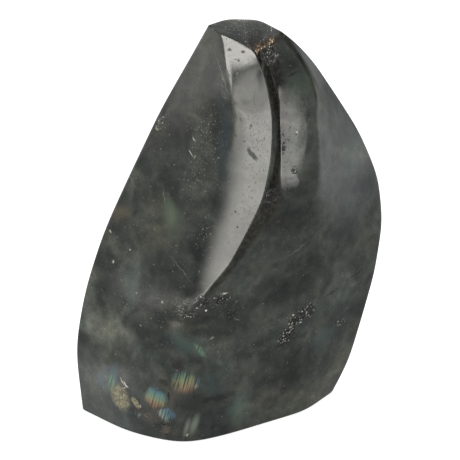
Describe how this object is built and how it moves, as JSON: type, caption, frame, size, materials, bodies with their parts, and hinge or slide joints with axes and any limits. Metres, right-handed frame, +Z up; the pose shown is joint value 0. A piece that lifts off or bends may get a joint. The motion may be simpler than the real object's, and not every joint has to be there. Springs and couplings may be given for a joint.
{
  "type": "labradorite sculpture",
  "caption": "Free-standing polished stone with a flat-cut base, broad soft faces, a curved crest beside a groove, and a small facet on top.",
  "frame": {"origin": "middle of the footprint's bounding box, on the flat base that the stone stands on", "axes": "+Z up from the base to the top facet, +X to the right as the front is seen, and the crested front looks along -Y"},
  "size_m": [0.099, 0.0524, 0.1298],
  "materials": {
    "polished_labradorite": "polished, dark grey-green with cloudy veins, small pits and patches of blue, green and gold schiller"
  },
  "bodies": {
    "root": {"stone": "polished_labradorite"}
  },
  "joints": []
}
